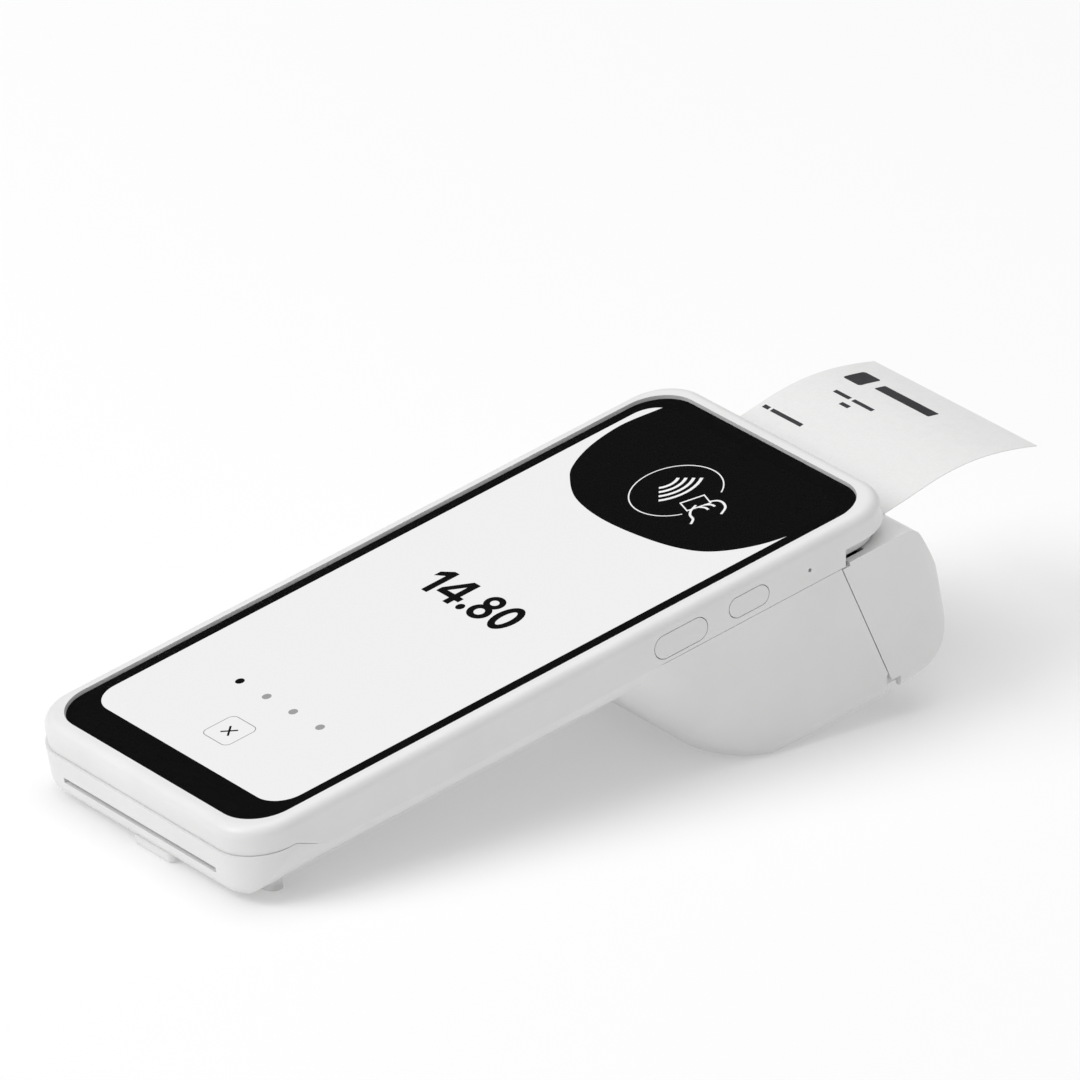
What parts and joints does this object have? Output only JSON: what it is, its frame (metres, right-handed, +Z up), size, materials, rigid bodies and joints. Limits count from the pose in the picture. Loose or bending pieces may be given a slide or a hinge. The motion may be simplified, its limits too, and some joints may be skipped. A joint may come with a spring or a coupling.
{
  "type": "card payment terminal",
  "caption": "Handheld card payment terminal with a full-front touch screen, side keys and a hinged receipt printer pod that props it up at a slant.",
  "frame": {"origin": "middle of the resting footprint's box, on the table surface", "axes": "+Z up from the table, +Y towards the printer end with the screen rising that way, +X to the user's right"},
  "size_m": [0.081, 0.2142, 0.0512],
  "materials": {
    "shell_white": "fine satin moulded plastic",
    "glass_black": "polished cover glass, black printed border",
    "gasket_black": "foam adhesive",
    "panel": "lit display",
    "dark_plastic": "moulded",
    "grey_plastic": "moulded",
    "key_white": "satin",
    "steel": "stamped sheet",
    "alloy": "die cast",
    "board": "solder mask",
    "flex": "polyimide film",
    "battery": "shrink sleeve",
    "brass": "gold-plated contacts",
    "copper": "etched coil",
    "ferrite": "ferrite sheet",
    "foot_rubber": "light silicone rubber",
    "platen_rubber": "ground rubber",
    "paper": "thermal paper",
    "core_card": "wound core",
    "gear_plastic": "acetal",
    "ceramic": "glazed heating line"
  },
  "bodies": {
    "case": {"top_housing": "shell_white", "lower_housing": "shell_white", "battery_cover": "shell_white", "cover_glass": "glass_black", "glass_gasket": "gasket_black", "display_panel": "panel", "front_camera": "dark_plastic", "mid_frame": "alloy", "main_board": "board", "shield_can_left": "steel", "shield_can_right": "steel", "battery_pack": "battery", "card_reader": "dark_plastic", "card_contacts": "brass", "nfc_ferrite": "ferrite", "nfc_antenna": "copper", "speaker": "dark_plastic", "vibration_motor": "steel", "usb_board": "board", "usb_port": "steel", "microphone": "dark_plastic", "key_flex": "flex", "volume_up_switch": "steel", "volume_down_switch": "steel", "power_switch": "steel", "front_foot_left": "foot_rubber", "front_foot_right": "foot_rubber", "rear_pad_left": "foot_rubber", "rear_pad_right": "foot_rubber", "housing_screw_1": "steel", "housing_screw_2": "steel", "housing_screw_3": "steel", "housing_screw_4": "steel", "paper_bucket": "grey_plastic", "receipt_strip": "paper", "printer_frame": "steel", "head_spring_left": "steel", "head_spring_right": "steel", "paper_sensor": "dark_plastic", "idler_pin": "steel", "stepper_motor": "steel", "hinge_pin": "steel"},
    "lid": {"printer_lid": "shell_white", "tear_bar": "steel"},
    "platen": {"platen_roller": "platen_rubber", "platen_shaft": "steel", "platen_gear": "gear_plastic"},
    "idler": {"idler_gear": "gear_plastic"},
    "motor_rotor": {"motor_gear": "gear_plastic", "motor_shaft": "steel"},
    "paper_spool": {"paper_roll": "paper", "roll_core": "core_card"},
    "head": {"print_head": "ceramic", "head_heatsink": "alloy"},
    "volume_button": {"volume_key": "key_white"},
    "power_button": {"power_key": "key_white"}
  },
  "joints": [
    {"name": "lid_hinge", "type": "hinge", "parent": "case", "child": "lid", "pos_m": [0, 0.06187, 0.00964], "axis": [-1, 0, 0], "range_deg": [0, 55]},
    {"name": "platen_spin", "type": "hinge", "parent": "lid", "child": "platen", "pos_m": [0, 0.05779, 0.03452], "axis": [1, 0, 0], "continuous": true},
    {"name": "idler_spin", "type": "hinge", "parent": "case", "child": "idler", "pos_m": [0, 0.04645, 0.03266], "axis": [1, 0, 0], "continuous": true},
    {"name": "motor_spin", "type": "hinge", "parent": "case", "child": "motor_rotor", "pos_m": [0, 0.05341, 0.0248], "axis": [1, 0, 0], "continuous": true},
    {"name": "roll_spin", "type": "hinge", "parent": "case", "child": "paper_spool", "pos_m": [0, 0.03412, 0.01803], "axis": [1, 0, 0], "continuous": true},
    {"name": "head_pivot", "type": "hinge", "parent": "case", "child": "head", "pos_m": [0, 0.04936, 0.03882], "axis": [1, 0, 0], "range_deg": [0, 1.2], "stiffness_Nm_per_rad": 5, "springref_deg": -1.15},
    {"name": "volume_rock", "type": "hinge", "parent": "case", "child": "volume_button", "pos_m": [0.037, 0.00384, 0.03377], "axis": [0, -0.2008, 0.9796], "range_deg": [-1.2, 1.2], "stiffness_Nm_per_rad": 0.5},
    {"name": "power_press", "type": "slide", "parent": "case", "child": "power_button", "axis": [-1, 0, 0], "range_m": [0, 0.0003], "stiffness_N_per_m": 2000, "springref_m": -0.0002}
  ],
  "couplings": [
    {"joint": "idler_spin", "follows": "platen_spin", "ratio": -0.76923},
    {"joint": "motor_spin", "follows": "platen_spin", "ratio": 1.25}
  ]
}
